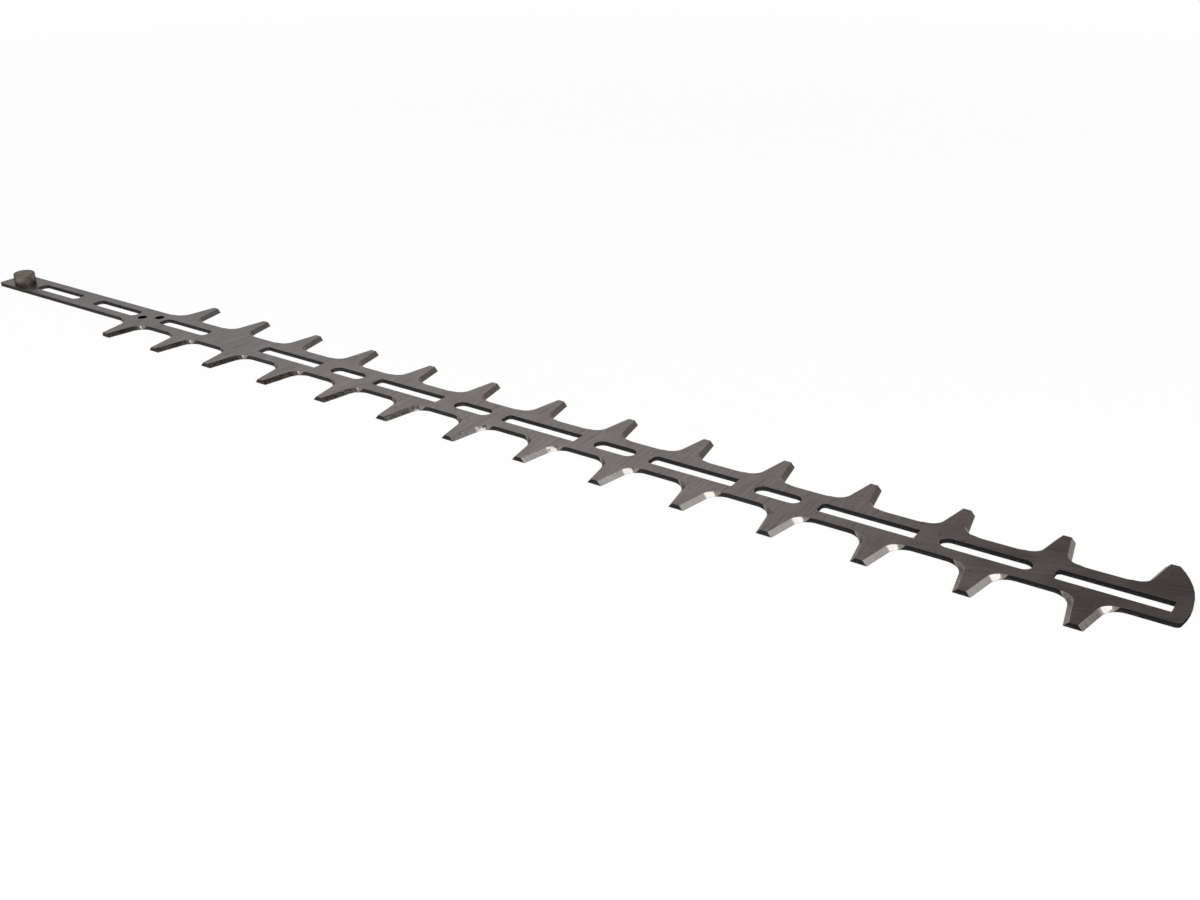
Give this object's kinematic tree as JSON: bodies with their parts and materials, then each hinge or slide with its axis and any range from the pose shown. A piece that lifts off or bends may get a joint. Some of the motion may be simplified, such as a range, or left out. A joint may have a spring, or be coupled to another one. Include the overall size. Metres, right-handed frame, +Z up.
{
  "type": "hedge trimmer blade",
  "caption": "Flat reciprocating hedge trimmer blade with bevelled teeth along both sides, windows and guide slots down the middle, a hooked round tip and a drive pin on the tail.",
  "frame": {"origin": "under the middle of the blade: halfway from tail to tip, on the centreline of the plate, at the underside", "axes": "+X from the drive pin to the tip, +Y across the plate to the side with the hooked end tooth, +Z up out of the bevelled face that carries the drive pin"},
  "size_m": [0.5924, 0.053, 0.007],
  "materials": {
    "ground_steel": "ground",
    "turned_steel": "turned"
  },
  "bodies": {
    "root": {"blade": "ground_steel", "drive_pin": "turned_steel"}
  },
  "joints": []
}
